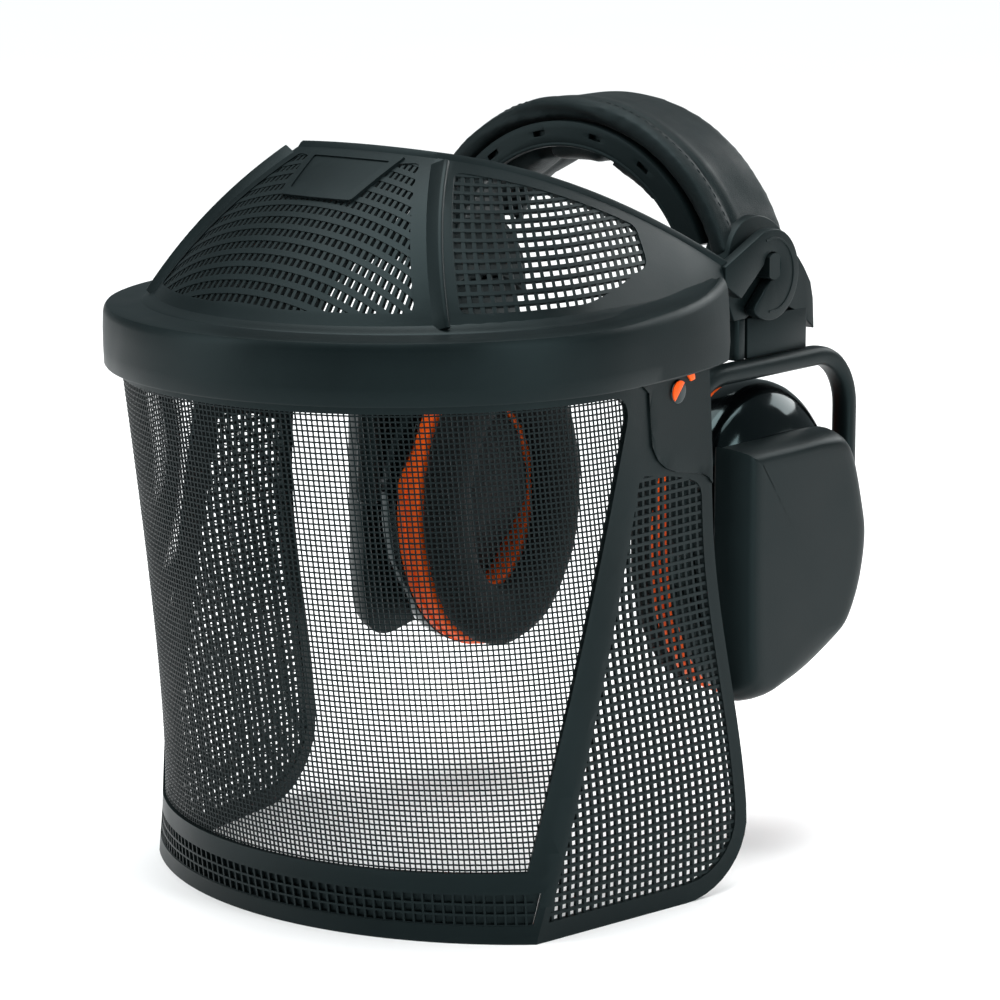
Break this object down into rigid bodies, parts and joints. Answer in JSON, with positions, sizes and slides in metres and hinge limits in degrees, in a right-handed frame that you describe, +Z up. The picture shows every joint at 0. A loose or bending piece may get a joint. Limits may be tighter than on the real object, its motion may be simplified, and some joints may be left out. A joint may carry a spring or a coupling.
{
  "type": "face and ear protector",
  "caption": "Headband with a vented brow guard and peak, a fine mesh face visor that flips up on side hinges, and padded ear cups on sliding yokes.",
  "frame": {"origin": "the crown point, where the headband's pads rest on top of the head, midway between the ears and straight above the line through the visor hinges", "axes": "+Z up, +X towards the wearer's left, -Y the way the face looks"},
  "size_m": [0.2014, 0.2654, 0.264],
  "materials": {
    "black_plastic": "fine moulded grain, satin charcoal black",
    "gloss_shell": "polished black",
    "orange_plastic": "bright orange, satin",
    "sleeve_cloth": "soft coated fabric with a stitched seam",
    "pad_foam": "soft matte foam",
    "cushion_skin": "soft black film over foam",
    "liner_foam": "open cell foam",
    "mesh_cloth": "fine square mesh, matte black",
    "spring_strip": "spring steel strip",
    "pin_steel": "plain steel pin"
  },
  "bodies": {
    "headband": {"headband_cover": "sleeve_cloth", "headband_spring": "spring_strip", "headband_frame": "black_plastic", "right_head_pad": "pad_foam", "centre_head_pad": "pad_foam", "left_head_pad": "pad_foam", "left_hinge_housing": "black_plastic", "right_hinge_housing": "black_plastic", "left_hinge_peg": "black_plastic", "right_hinge_peg": "black_plastic"},
    "visor_carrier": {"left_hub": "black_plastic", "right_hub": "black_plastic", "brow_guard": "black_plastic", "visor_peak": "black_plastic", "visor_frame": "black_plastic", "visor_mesh": "mesh_cloth", "left_lock_mark": "orange_plastic", "right_lock_mark": "orange_plastic"},
    "left_knob": {"left_lock_knob": "orange_plastic"},
    "left_arm": {"left_slider": "black_plastic", "left_yoke": "black_plastic", "left_tilt_pins": "pin_steel"},
    "left_cup": {"left_cup_cover": "black_plastic", "left_cup_shell": "gloss_shell", "left_back_plate": "orange_plastic", "left_ear_cushion": "cushion_skin", "left_foam_liner": "liner_foam"},
    "right_knob": {"right_lock_knob": "orange_plastic"},
    "right_arm": {"right_slider": "black_plastic", "right_yoke": "black_plastic", "right_tilt_pins": "pin_steel"},
    "right_cup": {"right_cup_cover": "black_plastic", "right_cup_shell": "gloss_shell", "right_back_plate": "orange_plastic", "right_ear_cushion": "cushion_skin", "right_foam_liner": "liner_foam"}
  },
  "joints": [
    {"name": "visor_flip", "type": "hinge", "parent": "headband", "child": "visor_carrier", "pos_m": [0, 0, -0.032], "axis": [-1, 0, 0], "range_deg": [0, 75]},
    {"name": "left_lock_turn", "type": "hinge", "parent": "visor_carrier", "child": "left_knob", "pos_m": [0.09, -0.08, -0.0636], "axis": [1, 0, 0], "range_deg": [0, 90]},
    {"name": "left_arm_slide", "type": "slide", "parent": "headband", "child": "left_arm", "axis": [0, 0, -1], "range_m": [0, 0.018]},
    {"name": "left_cup_tilt", "type": "hinge", "parent": "left_arm", "child": "left_cup", "pos_m": [0.0712, 0.004, -0.122], "axis": [0, 1, 0], "range_deg": [-10, 10]},
    {"name": "right_lock_turn", "type": "hinge", "parent": "visor_carrier", "child": "right_knob", "pos_m": [-0.09, -0.08, -0.0636], "axis": [-1, 0, 0], "range_deg": [0, 90]},
    {"name": "right_arm_slide", "type": "slide", "parent": "headband", "child": "right_arm", "axis": [0, 0, -1], "range_m": [0, 0.018]},
    {"name": "right_cup_tilt", "type": "hinge", "parent": "right_arm", "child": "right_cup", "pos_m": [-0.0712, 0.004, -0.122], "axis": [0, -1, 0], "range_deg": [-10, 10]}
  ]
}
